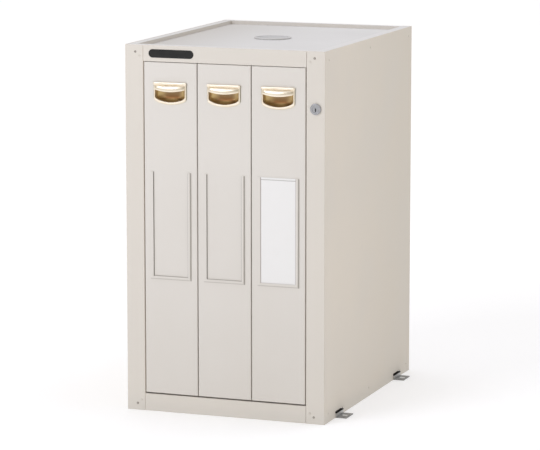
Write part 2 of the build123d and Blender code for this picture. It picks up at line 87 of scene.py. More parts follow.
class Signal:
    """One socket of a finish; arithmetic on it adds Math nodes to the same tree."""

    def __init__(self, tree, socket=None):
        self.tree = tree
        self.socket = socket

    def node(self, kind, inputs=(), output=0, **settings):
        """A node of that kind: its settings first, then its sockets, from values or signals."""
        made = self.tree.nodes.new(kind)
        for name, value in settings.items():
            setattr(made, name, value)
        for key, value in dict(inputs).items():
            if isinstance(value, Signal):
                self.tree.links.new(value.socket, made.inputs[key])
            else:
                made.inputs[key].default_value = value
        return Signal(self.tree, made.outputs[output])

    def math(self, operation, *others):
        """A Math node on this value and the others that the operation takes."""
        values = dict(enumerate((self, *others)))
        return self.node("ShaderNodeMath", values, operation=operation)

    def __add__(self, other):
        return self.math("ADD", other)

    def __sub__(self, other):
        return self.math("SUBTRACT", other)

    def __mul__(self, other):
        return self.math("MULTIPLY", other)

    def __rsub__(self, other):
        return self.node("ShaderNodeMath", {0: other, 1: self}, operation="SUBTRACT")

    __radd__ = __add__
    __rmul__ = __mul__

    def noise(self, size, detail=2.0, roughness=0.5):
        """Cloudy pattern, 0 to 1, whose blobs are about that many metres across."""
        sockets = {"Vector": self, "Scale": 1 / size, "Detail": detail, "Roughness": roughness}
        return self.node("ShaderNodeTexNoise", sockets)

    def hairs(self, along, length, width):
        """Brushed pattern, 0 to 1: noise drawn out along one axis into hairs of that size."""
        scale = [1 / length if letter == along else 1 / width for letter in "XYZ"]
        return self.node("ShaderNodeMapping", {"Vector": self, "Scale": scale}).noise(1.0, 3.0)

    def axis(self, letter):
        """One coordinate of a place."""
        return self.node("ShaderNodeSeparateXYZ", {0: self}, output="XYZ".index(letter))

    def slant(self, other):
        """Length of the slanted line over two square offsets: the root of their summed squares."""
        return (self * self + other * other).math("SQRT")

    def rise(self, start, end, low=0.0, high=1.0):
        """Smooth change from low to high as the value goes from start to end."""
        sockets = {0: self, 1: start, 2: end, 3: low, 4: high}
        return self.node("ShaderNodeMapRange", sockets, interpolation_type="SMOOTHSTEP")

    def fall(self, start, end):
        """Smooth change from 1 to 0 as the value goes from start to end."""
        return self.rise(start, end, 1.0, 0.0)

    def tint(self, first, second):
        """Colour between two colours, by this value."""
        return self.node("ShaderNodeMix", {0: self, 6: first, 7: second}, output=2, data_type="RGBA")

    def bump(self, height, under=None):
        """Surface direction for a relief of that height in metres, over another relief."""
        sockets = {"Height": self, "Distance": height}
        if under is not None:
            sockets["Normal"] = under
        return self.node("ShaderNodeBump", sockets)

    def feed(self, shader, name):
        """Lead the value into one of the shader's sockets."""
        self.tree.links.new(self.socket, shader.inputs[name])


def new_finish(name, **constants):
    """A finish, its shader with the constants set, and the place of each point on the piece."""
    finish = bpy.data.materials.new(name)
    finish.use_nodes = True
    shader = finish.node_tree.nodes["Principled BSDF"]
    for socket, value in constants.items():
        shader.inputs[socket.replace("_", " ")].default_value = value
    place = Signal(finish.node_tree).node("ShaderNodeTexCoord", output="Object")
    return finish, shader, place


def powder_coat(name, tone, low_tone, roughness, low_edge, high_edge, painted_shade=None):
    """Baked powder paint: slow sheet waves, orange peel, a cloudy tone and a darker low part, which
    is rubbing and dust on the walls, frames and top, and painted shade on the fronts, their rails
    and in the cap's dish. The tone may be a function of the place; the last argument is a tone and a
    function of how much painted shade lies where."""
    finish, shader, place = new_finish(name, IOR=paint_index)
    if callable(tone):
        tone = tone(place)
    cloud = place.noise(cloud_size, 3.0)
    grain = place.noise(grain_size, 3.0, 0.7)
    speck = place.noise(speck_size, 2.0)
    low_part = place.axis("Z").fall(low_edge, high_edge)
    mix = cloud.rise(0.3, 0.75) * 0.35 + low_part * (0.25 + grain * 0.5)
    paint = mix.tint(tone, low_tone)
    if painted_shade:
        painted_shade_tone, painted_shade_share = painted_shade
        paint = painted_shade_share(place).tint(paint, painted_shade_tone)
    paint.feed(shader, "Base Color")
    unevenness = (grain - 0.5) * 0.10 + (speck - 0.5) * 0.05 + low_part * 0.08
    (roughness + unevenness).feed(shader, "Roughness")
    waves = place.noise(wave_size, 1.0).bump(wave_height)
    place.noise(peel_size, 2.0, 0.6).bump(peel_height, waves).feed(shader, "Normal")
    return finish


def dress(node_name, finish, edge=0.0):
    """Give a frame node its finish; edge rounds its sharp corners by that many metres."""
    piece = frame["nodes"][node_name]
    piece.data.materials.clear()
    piece.data.materials.append(finish)
    if edge:
        weld = piece.modifiers.new("join", "WELD")
        weld.merge_threshold = weld_gap
        bevel = piece.modifiers.new("corner", "BEVEL")
        bevel.width = edge
        bevel.segments = 2
        bevel.limit_method = "ANGLE"
        bevel.angle_limit = sharp_angle


def facing(place, letter):
    """How squarely a face looks along one axis, either way: 0 aslant and 1 on square faces."""
    normal = place.node("ShaderNodeNewGeometry", output="Normal")
    return normal.axis(letter).math("ABSOLUTE").rise(0.5, 0.9)


def painted_side_shade(place):
    """The walls' tone with painted light and shade: faces to the left and right are painted warmer,
    and darker from front to back.
    """
    depth = place.axis("Y").rise(cad_box[0].y, cad_box[1].y)
    return facing(place, "X").tint(wall_tone, depth.tint(side_front_shade_tone, side_back_shade_tone))


wall_paint = (painted_side_shade, wall_low_tone, wall_roughness, 0.0, scuff_height)
wall_coat = powder_coat("wall_coat", *wall_paint)
for name in ("left_side_panel", "right_side_panel", "top_front_rail", "bottom_front_rail"):
    dress(name, wall_coat)
for name in ("back_panel", "base_panel"):
    dress(name, wall_coat, fold_edge)


# Top: one pressed sheet with a sunk floor and a raised rim to stand things in. Its flat faces are
# painted a lighter, cooler grey than the walls', a painted light from above, and its flanges take
# the walls' tone. It has dusted in the recess, where a painted shade rises towards the left.
top_lit_tone = (0.775, 0.760, 0.742, 1)
top_low_tone = (0.690, 0.676, 0.658, 1)
# Painted shade: the recess floor is painted darker towards the left.
top_shade_tone = (0.580, 0.550, 0.510, 1)
top_roughness = 0.40
shade_left = -0.30
shade_right = 0.02
shade_fade = 0.002
rim_band = 0.001
dust_rise = 0.001
top_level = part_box("top_panel")[1].z
floor_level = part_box("vent_cover")[0].z


def painted_top_light(place):
    """The top's tone with painted light: flat faces are painted a lighter, cooler grey, and its
    flanges take the walls' tone.
    """
    return facing(place, "Z").tint(wall_tone, top_lit_tone)


def painted_left_shade(place):
    """Share of painted shade: it rises towards the left on flat faces under the rim."""
    under_rim = top_level - rim_band
    sunk = place.axis("Z").fall(under_rim - shade_fade, under_rim)
    return facing(place, "Z") * sunk * place.axis("X").fall(shade_left, shade_right)


top_paint = (painted_top_light, top_low_tone, top_roughness, floor_level, floor_level + dust_rise)
dress("top_panel", powder_coat("top_coat", *top_paint, painted_shade=(top_shade_tone, painted_left_shade)))


# Cap over the round exhaust hole in the sunk floor: a dished disc with a raised rim, spun from
# sheet and painted with the top's tone. Its dish is painted darker, a painted shade.
cap_dish_shade_tone = (0.440, 0.432, 0.430, 1)
cap_roughness = 0.42
cap_low, cap_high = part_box("vent_cover")
cap_radius = (cap_high.x - cap_low.x) / 2
cap_rise = cap_high.z - cap_low.z
cap_rim = 0.0035
cap_dish = 0.0020
cap_crown = 0.0005
cap_edge = 0.0006
cap_shade_rise = 0.0008
cap_turns = 96
dish_edge = 0.001
dish_radius = cap_radius - cap_rim
dish_foot = dish_radius - 2 * dish_edge
dish_level = cap_rise - cap_dish
same_point = 1e-7


def grid_piece(name, points, wrap_rows=False, wrap_columns=False, sharp=40):
    """Piece from points in rows and columns, or in several such grids: neighbours make a quad,
    equal points join, and edges over that many degrees stay crisp."""
    number = np.arange(points.size // 3).reshape(points.shape[:-1])
    if wrap_rows:
        number = np.concatenate([number, number[..., :1, :]], axis=-2)
    if wrap_columns:
        number = np.concatenate([number, number[..., :1]], axis=-1)
    near, far = number[..., :-1, :], number[..., 1:, :]
    corners = (near[..., :-1], far[..., :-1], far[..., 1:], near[..., 1:])
    mesh = bpy.data.meshes.new(name)
    mesh.from_pydata(points.reshape(-1, 3), [], np.stack(corners, axis=-1).reshape(-1, 4))
    work = bmesh.new()
    work.from_mesh(mesh)
    bmesh.ops.remove_doubles(work, verts=work.verts, dist=same_point)
    bmesh.ops.recalc_face_normals(work, faces=work.faces)
    work.to_mesh(mesh)
    work.free()
    mesh.shade_smooth()
    mesh.set_sharp_from_angle(angle=math.radians(sharp))
    piece = bpy.data.objects.new(name, mesh)
    bpy.context.scene.collection.objects.link(piece)
    return piece


def arc(start, end, level_first=False, count=6):
    """Quarter ellipse between two points of a profile: it leaves the start along the second axis,
    or with level_first along the first."""
    turn = np.linspace(0, np.pi / 2, count)
    ease = np.stack([1 - np.cos(turn), np.sin(turn)], axis=-1)
    if level_first:
        ease = ease[:, ::-1]
    start, end = np.array(start), np.array(end)
    return start + (end - start) * ease


def turned(profile, count):
    """Turned form: each point of the profile, a radius and a height, goes round the Z axis."""
    profile = np.array(profile)
    turn = np.linspace(0, 2 * np.pi, count, endpoint=False)
    radius = profile[:, 0][:, None]
    height = np.broadcast_to(profile[:, 1][:, None], (len(profile), count))
    return np.stack([radius * np.cos(turn), radius * np.sin(turn), height], axis=-1)


cap_profile = np.vstack([
    [(0, 0), (cap_radius, 0)],
    arc((cap_radius, cap_rise - cap_edge), (cap_radius - cap_edge, cap_rise)),
    arc((dish_radius + cap_edge, cap_rise), (dish_radius, cap_rise - cap_edge), level_first=True),
    arc((dish_foot + dish_edge, dish_level + dish_edge), (dish_foot, dish_level)),
    [(cap_radius * 0.4, dish_level + cap_crown * 0.8), (0, dish_level + cap_crown)],
])
cap_spot = np.array([(cap_low.x + cap_high.x) / 2, (cap_low.y + cap_high.y) / 2, cap_low.z])
cap = grid_piece("exhaust_cap", turned(cap_profile, cap_turns) + cap_spot, wrap_columns=True)
dish_top = cap_low.z + dish_level + cap_crown
cap_paint = (top_lit_tone, cap_dish_shade_tone, cap_roughness, dish_top, dish_top + cap_shade_rise)
cap.data.materials.append(powder_coat("cap_coat", *cap_paint))
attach(cap, "cabinet")
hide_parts("vent_cover")


# Rivets: blind rivets set from outside. The pulled stem leaves a dark hole in a bare head; the
# inner pair at each corner was set before painting, so its heads carry the coat.
rivet_tone = (0.40, 0.37, 0.33, 1)
rivet_stain = (0.26, 0.23, 0.20, 1)
rivet_roughness = 0.42
rivet_radius = 0.0026
rivet_rise = 0.0010
rivet_turns = 24
stem_radius = 0.0011
stem_depth = 0.0007
bare_inset = (0.0240, 0.0150)
painted_inset = (0.0335, 0.0230)
side_inset = 0.0250
side_level = 0.0200
stain_size = 0.018
hair_length = 0.030
hair_width = 0.0004
hair_height = 0.000006
wall_low, wall_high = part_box("right_side_panel")
half_width = wall_high.x
front_y = wall_low.y
back_y = wall_high.y
wall_height = wall_high.z


def rivet_heads(name, spots, finish):
    """Domed rings, one at each spot: turned about Z, then faced the way the spot says."""
    ring = np.vstack([
        [(stem_radius * 0.5, rivet_rise - stem_depth)],
        [(stem_radius, rivet_rise - stem_depth), (stem_radius, rivet_rise * 0.9)],
        arc((stem_radius * 1.1, rivet_rise), (rivet_radius, 0.0), level_first=True, count=8),
        [(stem_radius * 0.5, 0.0)],
    ])
    head = turned(ring, rivet_turns)
    upright = np.array([0.0, 0.0, 1.0])
    heads = [head @ np.stack([upright, np.cross(way, upright), way]) + spot for spot, way in spots]
    piece = grid_piece(name, np.stack(heads), wrap_rows=True, wrap_columns=True, sharp=50)
    piece.data.materials.append(finish)
    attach(piece, "cabinet")
    return piece


def plated(name, tone, stain_tone, roughness, along="X", **constants):
    """Zinc or bright plate: a cloudy tone, drawing hairs along one axis and a faint relief."""
    finish, shader, place = new_finish(name, **constants)
    cloud = place.noise(stain_size, 3.0, 0.6)
    hair = place.hairs(along, hair_length, hair_width)
    stained = cloud.rise(0.35, 0.75) * 0.8 + (hair - 0.5) * 0.3
    stained.tint(tone, stain_tone).feed(shader, "Base Color")
    (roughness + (cloud - 0.5) * 0.14 + (hair - 0.5) * 0.12).feed(shader, "Roughness")
    hair.bump(hair_height).feed(shader, "Normal")
    return finish


bare_spots, painted_spots, side_spots = [], [], []
for side in (-1, 1):
    for (inset, level), spots in ((bare_inset, bare_spots), (painted_inset, painted_spots)):
        for z in (level, wall_height - level):
            spots.append(((side * (half_width - inset), front_y, z), (0.0, -1.0, 0.0)))
    for y in (front_y + side_inset, (front_y + back_y) / 2, back_y - side_inset):
        for z in (side_level, wall_height - side_level):
            side_spots.append(((side * half_width, y, z), (float(side), 0.0, 0.0)))
rivet_steel = plated("rivet_steel", rivet_tone, rivet_stain, rivet_roughness, Metallic=0.85)
bare_heads = rivet_heads("bare_rivet_heads", bare_spots, rivet_steel)
rivet_heads("painted_rivet_heads", painted_spots, wall_coat)
side_heads = rivet_heads("side_rivet_heads", side_spots, wall_coat)
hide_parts("front_rivets")
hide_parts("side_rivets")


# Floor anchors, slides, channels and catches: cold-rolled strip, folded and bright zinc plated.
# The anchors' feet are scuffed and painted darker as a painted reflection; the slit over each is
# painted dark as shade and the slots' cut walls are painted bright as painted light.
zinc_tone = (0.56, 0.56, 0.55, 1)
zinc_stain = (0.42, 0.42, 0.43, 1)
foot_reflection_tone = (0.31, 0.31, 0.31, 1)
slit_shade_tone = (0.030, 0.028, 0.026, 1)
slot_light_tone = (0.950, 0.950, 0.940, 1)
foot_level = 0.0026
foot_fade = 0.0015
slit_level = 0.0096
slit_fade = 0.0006
scuff_size = 0.006
anchor_edge = 0.0004
anchor_hair_width = 0.0005
anchor_hair_height = 0.000008
strip_edge = 0.0002
catch_edge = 0.0003
mm = 0.001
mounts = {mount["name"]: mount for mount in frame["record"]["mounts"]}
slot_middle = mounts["floor_anchor_slots"]["pos_m"]
slot_sizes = mounts["floor_anchor_slots"]["dims"]
slot_spots = (slot_sizes["spacing_x_mm"] / 2 * mm, slot_sizes["spacing_y_mm"] / 2 * mm)
slot_radius = slot_sizes["hole_r_mm"] * mm
slot_straight = slot_sizes["slot_length_mm"] / 2 * mm - slot_radius
slot_fade = 0.0002
racks = ("left", "centre", "right")


def inside_slots(place):
    """1 in the four slots, where only their cut walls lie: the distance from the middle line of
    the nearest slot is at most its radius."""
    along, across = (
        ((place.axis(letter) - middle).math("ABSOLUTE") - spot).math("ABSOLUTE")
        for letter, middle, spot in zip("XY", slot_middle, slot_spots)
    )
    past_end = (along - slot_straight).math("MAXIMUM", 0.0)
    return past_end.slant(across).fall(slot_radius, slot_radius + slot_fade)


def anchor_zinc():
    """Zinc plate that is scuffed and painted darker on the flat foot, below a low level, as a
    painted reflection; painted dark as shade where the tongue goes into the wall's slit; and painted
    near white on the cut walls of the slots, a painted light for the floor seen through them."""
    finish, shader, place = new_finish("anchor_zinc")
    cloud = place.noise(scuff_size, 3.0, 0.65)
    hair = place.hairs("Y", hair_length, anchor_hair_width)
    foot = place.axis("Z").fall(foot_level, foot_level + foot_fade)
    # Painted shade: above the slit's level the plate is painted near black.
    slit = place.axis("Z").rise(slit_level, slit_level + slit_fade)
    plate = (cloud.rise(0.35, 0.75) * 0.6).tint(zinc_tone, zinc_stain)
    scuffed_and_darkened = (foot * (0.65 + cloud * 0.5)).tint(plate, foot_reflection_tone)
    outside = slit.tint(scuffed_and_darkened, slit_shade_tone)
    # Painted light: the slots' cut walls are painted near white, for the floor seen through them.
    inside_slots(place).tint(outside, slot_light_tone).feed(shader, "Base Color")
    (0.75 + slit * 0.25).feed(shader, "Metallic")
    (0.36 + foot * 0.12 + slit * 0.5 + (hair - 0.5) * 0.14).feed(shader, "Roughness")
    hair.bump(anchor_hair_height).feed(shader, "Normal")
    return finish


foot_zinc = anchor_zinc()
for name in ("left_anchor_brackets", "right_anchor_brackets"):
    dress(name, foot_zinc, anchor_edge)
zinc = plated("zinc_plate", zinc_tone, zinc_stain, roughness=0.30, along="Y", Metallic=0.95)
dress("top_guide_channels", zinc, strip_edge)
for rack in racks:
    for member in ("slide_outer", "slide_mid", "slide_inner"):
        dress(f"{rack}_{member}", zinc, strip_edge)
    dress(f"{rack}_lock_catch", zinc, catch_edge)


# Lock: a turned barrel with a round face in the right post, its keyed plug, the nut behind, the
# cam and the bar that it drops. The face is satin nickel-chrome, turned, so its hairs run round.
chrome_tone = (0.400, 0.402, 0.415, 1)
chrome_shade = (0.300, 0.305, 0.325, 1)
chrome_cloud = 0.004
rings_per_metre = 9000.0
ring_height = 0.000004
barrel_edge = 0.0004
nut_edge = 0.0003
cam_edge = 0.0002
bar_edge = 0.0003
lock_low, lock_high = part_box("lock_housing")
lock_x = (lock_low.x + lock_high.x) / 2
lock_z = (lock_low.z + lock_high.z) / 2


def turned_chrome():
    """Satin chrome with fine rings about the lock's axis: the distance from it drives a noise."""
    finish, shader, place = new_finish("turned_chrome", Metallic=0.92, Coat_Weight=0.15)
    ring = (place.axis("X") - lock_x).slant(place.axis("Z") - lock_z)
    sockets = {"W": ring * rings_per_metre, "Scale": 1.0}
    rings = place.node("ShaderNodeTexNoise", sockets, noise_dimensions="1D")
    cloud = place.noise(chrome_cloud, 2.0)
    ((rings - 0.5) * 0.6 + cloud * 0.7).tint(chrome_tone, chrome_shade).feed(shader, "Base Color")
    (0.27 + (rings - 0.5) * 0.16 + (cloud - 0.5) * 0.06).feed(shader, "Roughness")
    rings.bump(ring_height).feed(shader, "Normal")
    return finish


chrome = turned_chrome()
nut_plate = plated("nut_plate", zinc_tone, zinc_stain, roughness=0.34, along="Z", Metallic=0.95)
bar_plate = plated("bar_plate", zinc_tone, zinc_stain, roughness=0.32, along="X", Metallic=0.95)
dress("lock_housing", chrome, barrel_edge)
dress("lock_plug", chrome)
dress("lock_nut", nut_plate, nut_edge)
dress("lock_cam", zinc, cam_edge)
dress("lock_bar", bar_plate, bar_edge)


# Keepers and top glides: small blocks moulded in natural nylon, a little milky and waxy. The
# keepers guide the lock bar behind the top rail; a glide runs in each channel under the top.
nylon_tone = (0.80, 0.78, 0.70, 1)
nylon_shade = (0.72, 0.69, 0.60, 1)
nylon_index = 1.53
nylon_cloud = 0.012
spark_size = 0.0006
spark_height = 0.000012
keeper_edge = 0.0004
glide_edge = 0.0006


def moulded_nylon():
    """Milky plastic with a fine spark-eroded grain and a slightly uneven tone."""
    finish, shader, place = new_finish("moulded_nylon", IOR=nylon_index)
    cloud = place.noise(nylon_cloud, 2.0)
    grain = place.noise(spark_size, 2.0, 0.6)
    cloud.rise(0.3, 0.8).tint(nylon_tone, nylon_shade).feed(shader, "Base Color")
    (0.44 + (grain - 0.5) * 0.16).feed(shader, "Roughness")
    grain.bump(spark_height).feed(shader, "Normal")
    return finish


nylon = moulded_nylon()
dress("lock_bar_keepers", nylon, keeper_edge)
for rack in racks:
    dress(f"{rack}_top_glide", nylon, glide_edge)


# Racks: a welded frame of thin folded sheet in the body's colour, a shade greyer, and three
# trays of brushed stainless sheet that stand bottles and catch drips.
frame_tone = (0.660, 0.632, 0.585, 1)
frame_low_tone = (0.600, 0.572, 0.520, 1)
frame_roughness = 0.48
frame_rub = (0.05, 0.12)
tray_tone = (0.600, 0.600, 0.592, 1)
tray_stain = (0.500, 0.500, 0.498, 1)
sheet_edge = 0.0003
frame_coat = powder_coat("frame_coat", frame_tone, frame_low_tone, frame_roughness, *frame_rub)
tray_steel = plated("tray_steel", tray_tone, tray_stain, roughness=0.30, along="Y", Metallic=1.0)
for rack in racks:
    dress(f"{rack}_carriage", frame_coat, sheet_edge)
    for tray in (1, 2, 3):
        dress(f"{rack}_tray_{tray}", tray_steel, sheet_edge)


# Rack fronts: three tall folded panels in the same paint as the walls, each with rails for a
# card folded from thin strip, spot welded on and painted with it.
front_tone = (0.745, 0.712, 0.670, 1)
# Painted shade: the fronts and their rails are painted darker towards the bottom over their lower
# part, mixed with grain.
front_low_shade_tone = (0.700, 0.662, 0.612, 1)
front_roughness = 0.44
front_shade_band = (0.02, 0.45)
# Painted shadows of the card holders' rails: a dark tone beside the lips' edge and along the rails'
# outer edge on the right and below.
shadow_tone = (0.270, 0.245, 0.215, 1)
shadow_fade = 0.0004
foot_shadow = 0.0018
lip_shadow = 0.0011
lip_reach = 0.003
lip_end = 0.001
rail_wide = 0.0070
holder_low, holder_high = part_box("centre_card_holder")
holder_half = (holder_high.x - holder_low.x) / 2
rack_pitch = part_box("right_front")[0].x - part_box("centre_front")[0].x


def from_rack(place):
    """Sideways place on each rack alike: X wraps round from one rack's middle to the next."""
    return place.axis("X").math("WRAP", rack_pitch / 2, -rack_pitch / 2)


def rail_shadow(place):
    """Painted shadow on the foot of the rails, along its outer edge on the right and faintly below.
    """
    ways = (from_rack(place) - holder_half, holder_low.z - place.axis("Z"))
    side, foot = (way.rise(-foot_shadow - shadow_fade, -foot_shadow) for way in ways)
    return (side * 0.75).math("MAXIMUM", foot * 0.30)


def lip_shade(place):
    """Painted shadow on what the rails' lips stand over, right beside the lips' edge: full along the
    sides and weak along the bottom."""
    beside = from_rack(place).math("ABSOLUTE") - (holder_half - rail_wide)
    below = (holder_low.z + rail_wide) - place.axis("Z")
    side, foot = (
        way.rise(-lip_shadow - shadow_fade, -lip_shadow) * way.fall(0.0, lip_reach)
        for way in (beside, below)
    )
    above = below.fall(0.0, lip_end)
    under_top = place.axis("Z").fall(holder_high.z - lip_end, holder_high.z)
    between = beside.fall(0.0, lip_end)
    return (side * above * under_top).math("MAXIMUM", foot * between * 0.35)


front_paint = (front_tone, front_low_shade_tone, front_roughness, *front_shade_band)
front_coat = powder_coat("front_coat", *front_paint, painted_shade=(shadow_tone, lip_shade))
rail_coat = powder_coat("rail_coat", *front_paint, painted_shade=(shadow_tone, rail_shadow))
for rack in racks:
    dress(f"{rack}_front", front_coat)
    dress(f"{rack}_card_holder", rail_coat)


# Card: a stiff white plastic card, left blank, that slides down into the right rack's rails.
# A scored line runs across it a little below its top edge; its groove is painted dark, partly
# painted shade and partly dirt.
card_tone = (0.860, 0.855, 0.850, 1)
card_shade = (0.800, 0.785, 0.775, 1)
card_shadow_tone = (0.420, 0.350, 0.340, 1)
score_shade_tone = (0.470, 0.450, 0.440, 1)
score_drop = 0.0050
score_width = 0.0011
score_depth = 0.0002
card_index = 1.49
card_cloud = 0.03
card_grain = 0.0009
card_grain_height = 0.000006
card_corner = 0.0002


def card_plastic():
    """Smooth white sheet: faint mottling, a shallow scored line at one level whose groove is painted
    dark, partly painted shade and partly dirt, and painted shadow beside the lips of the rails."""
    finish, shader, place = new_finish("card_plastic", IOR=card_index)
    cloud = place.noise(card_cloud, 2.0)
    level = place.axis("Z") - (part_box("label_card")[1].z - score_drop)
    score = level.math("ABSOLUTE").fall(score_width * 0.5, score_width)
    clean = (cloud * 0.25).tint(card_tone, card_shade)
    scored = (score * 0.9).tint(clean, score_shade_tone)
    (lip_shade(place) * 0.8).tint(scored, card_shadow_tone).feed(shader, "Base Color")
    (0.34 + (cloud - 0.5) * 0.10).feed(shader, "Roughness")
    fine = place.noise(card_grain, 2.0).bump(card_grain_height)
    (1.0 - score).bump(score_depth, fine).feed(shader, "Normal")
    return finish


dress("label_card", card_plastic(), card_corner)


# Cup handles: mouldings plated in pale gold, snapped into a hole in each front. One moulding is
# the bevelled rim with its bowl, one is the bar along its top and one the hood over the bowl.
cream_tone = (0.870, 0.785, 0.650, 1)
straw_tone = (0.800, 0.690, 0.510, 1)
# Painted reflection: the rim's steep flanks at its two ends are painted olive-grey, as if a darker
# surrounding showed in them.
flank_reflection_tone = (0.330, 0.300, 0.210, 1)
# Painted shade: the bowl is painted brown where it sits deep behind the rim, greyer towards its top.
bowl_shade_tone = (0.225, 0.108, 0.038, 1)
bowl_upper_shade_tone = (0.310, 0.200, 0.100, 1)
# Painted reflection: the bowl is painted brighter and more golden towards its foot and sides.
bowl_edge_reflection_tone = (0.980, 0.760, 0.360, 1)
gold_cloud = 0.012
gold_hair_width = 0.0009
bowl_shade_depths = (-0.0012, 0.006)
high_levels = (0.014, 0.026)
reflection_levels = (0.005, 0.014)
reflection_sides = (0.010, 0.034)
flank_depths = (-0.0026, -0.0018)
flank_sides = (-0.0020, -0.0010)
handle_tall = 0.048
handle_belly = 0.008
corner_above = 22.0
corner_below = 8.0
outline_count = 208
rim_wide = 0.004
rim_foot = 0.0056
rim_height = 0.003
rim_start = 0.0003
crest_start = 0.72
crest_end = 0.80
window_edge = (0.99, -0.0016)
bowl_depth = 0.0135
bowl_wall = 0.0015
bowl_rows = 18
bar_tall = 0.0056
bar_reach = 0.0044
bar_gap = 0.0008
bar_corner = 12.0
bar_square = 0.6
hood_top = -0.0061
hood_lip = -0.0197
hood_foot = 0.0005
hood_reach = 0.00948
hood_swing = 0.004
hood_belly = 0.0045
hood_half = 0.0345
hood_thick = 0.0016
hood_corner = 10.0
hood_square = 0.6
lip_width = 0.0004
face_low, face_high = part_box("left_handle_face")
bowl_foot = face_low.z
handle_half = (face_high.x - face_low.x) / 2


def squared_oval(turn, square):
    """The point of |x|^n + |z|^n = 1 in each direction: its reach there is one over the n-th root
    of |cos|^n + |sin|^n, so the points lie evenly along the flat sides."""
    x_part, z_part = np.cos(turn), np.sin(turn)
    reach = (np.abs(x_part) ** square + np.abs(z_part) ** square) ** (-1 / square)
    return x_part * reach, z_part * reach


def outline(half, high, low, belly):
    """Closed outline: a squared oval with tighter corners above than below, whose lower edge
    swells down as a parabola across the width, fading out at the straight top."""
    turn = np.linspace(0, 2 * np.pi, outline_count, endpoint=False)
    across, up = squared_oval(turn, np.where(np.sin(turn) > 0, corner_above, corner_below))
    level = (high + low) / 2 + (high - low) / 2 * up
    level -= belly * (1 - across ** 2) * (high - level) / (high - low)
    return np.stack([half * across, np.zeros_like(across), level], axis=-1)


def rim_and_bowl(half):
    """Rim and bowl as one skin carried round the handle. Each station has a share from the outer
    outline (0) to the window's (1) to the centre (2), and a depth. The rim is a quarter ellipse
    that turns in at a narrow crest; the bowl is depth * sqrt(1 - r^4), r being 2 - share."""
    outer = outline(half, 0, handle_belly - handle_tall, handle_belly)
    inner_half = half - rim_wide
    inner_high = -bar_tall - bar_gap
    inner_low = handle_belly - handle_tall + rim_foot
    window = outline(inner_half, inner_high, inner_low, handle_belly)
    middle = np.array([0, 0, (inner_high + inner_low - handle_belly) / 2])
    fall = np.linspace(0.999, 0, bowl_rows)
    bowl = np.stack([2 - fall, bowl_depth * np.sqrt(1 - fall ** 4)], axis=-1)
    wall_share = bowl_wall / inner_half
    back = np.stack([2 - fall[::-1] * (1 + wall_share), bowl_wall + bowl[::-1, 1]], axis=-1)
    stations = np.vstack([
        [(0.0, 0.0)],
        arc((0.0, -rim_start), (crest_start, -rim_height), count=9),
        arc((crest_end, -rim_height), window_edge, level_first=True),
        bowl,
        back,
        [(1.0 - wall_share, 0.0)],
    ])
    share = stations[:, 0][:, None, None]
    to_window = outer + (window - outer) * share
    to_middle = window + (middle - window) * (share - 1)
    rows = np.where(share < 1, to_window, to_middle)
    rows[:, :, 1] = stations[:, 1][:, None]
    return rows


def hood_skin(side_count=81, drop_count=22):
    """Hood: in plan a squared oval whose reach falls as a parabola towards the sides, and from the
    side a squared quarter oval from under the bar out and down to the lip, which hangs lowest in
    the middle."""
    down = np.linspace(0, np.pi / 2, drop_count)[:, None]
    across, cheek = squared_oval(np.linspace(np.pi, 0, side_count)[None, :], hood_corner)
    share = across ** 2
    reach = (hood_reach - hood_swing * share + hood_foot) * cheek
    lip = hood_lip + hood_belly * share
    depth = hood_foot - reach * np.sin(down) ** hood_square
    level = lip + (hood_top - lip) * np.maximum(np.cos(down), 0) ** hood_square
    return np.stack([np.broadcast_to(hood_half * across, depth.shape), depth, level], axis=-1)


def bar_skin(half, end_count=49, round_count=32):
    """Top bar: a squared oval section whose size falls off as a squared oval towards both ends."""
    across, size = squared_oval(np.linspace(np.pi, 0, end_count)[:, None], bar_corner)
    size = np.abs(size)
    around = np.linspace(0, 2 * np.pi, round_count, endpoint=False)[None, :]
    out = np.sign(np.cos(around)) * np.abs(np.cos(around)) ** bar_square
    up = np.sign(np.sin(around)) * np.abs(np.sin(around)) ** bar_square
    depth = -bar_reach / 2 + size * out * bar_reach / 2
    level = -bar_tall / 2 + size * up * bar_tall / 2
    return np.stack([np.broadcast_to(half * across, depth.shape), depth, level], axis=-1)


def gold_plate():
    """Pale gold plating with fine polishing hairs along X: cream over the rim, bar and hood; a
    painted olive reflection on the rim's flanks at its two ends; and brown painted shade in the
    bowl, greyer towards its top, with a painted reflection that brightens it towards its foot and
    sides."""
    finish, shader, place = new_finish("gold_plate", Metallic=0.88)
    hair = place.hairs("X", hair_length, gold_hair_width)
    cloud = place.noise(gold_cloud, 2.0)
    inward = place.axis("Y") - front_y
    above = place.axis("Z") - bowl_foot
    reach = from_rack(place).math("ABSOLUTE")
    depth = inward.rise(*bowl_shade_depths)
    flank = inward.rise(*flank_depths) * (reach - handle_half).rise(*flank_sides)
    edge_reflection = above.fall(*reflection_levels).math("MAXIMUM", reach.rise(*reflection_sides) * 0.65)
    bowl_shade = above.rise(*high_levels).tint(bowl_shade_tone, bowl_upper_shade_tone)
    deep = (edge_reflection + (cloud - 0.5) * 0.2).tint(bowl_shade, bowl_edge_reflection_tone)
    cream = (cloud.rise(0.3, 0.8) * 0.5 + (hair - 0.5) * 0.2).tint(cream_tone, straw_tone)
    plate = (depth + (cloud - 0.5) * 0.1).tint(cream, deep)
    flank.tint(plate, flank_reflection_tone).feed(shader, "Base Color")
    sheen = 0.30 + depth * 0.12 + (hair - 0.5) * 0.14 + (cloud - 0.5) * 0.08
    sheen.feed(shader, "Roughness")
    hair.bump(hair_height).feed(shader, "Normal")
    return finish


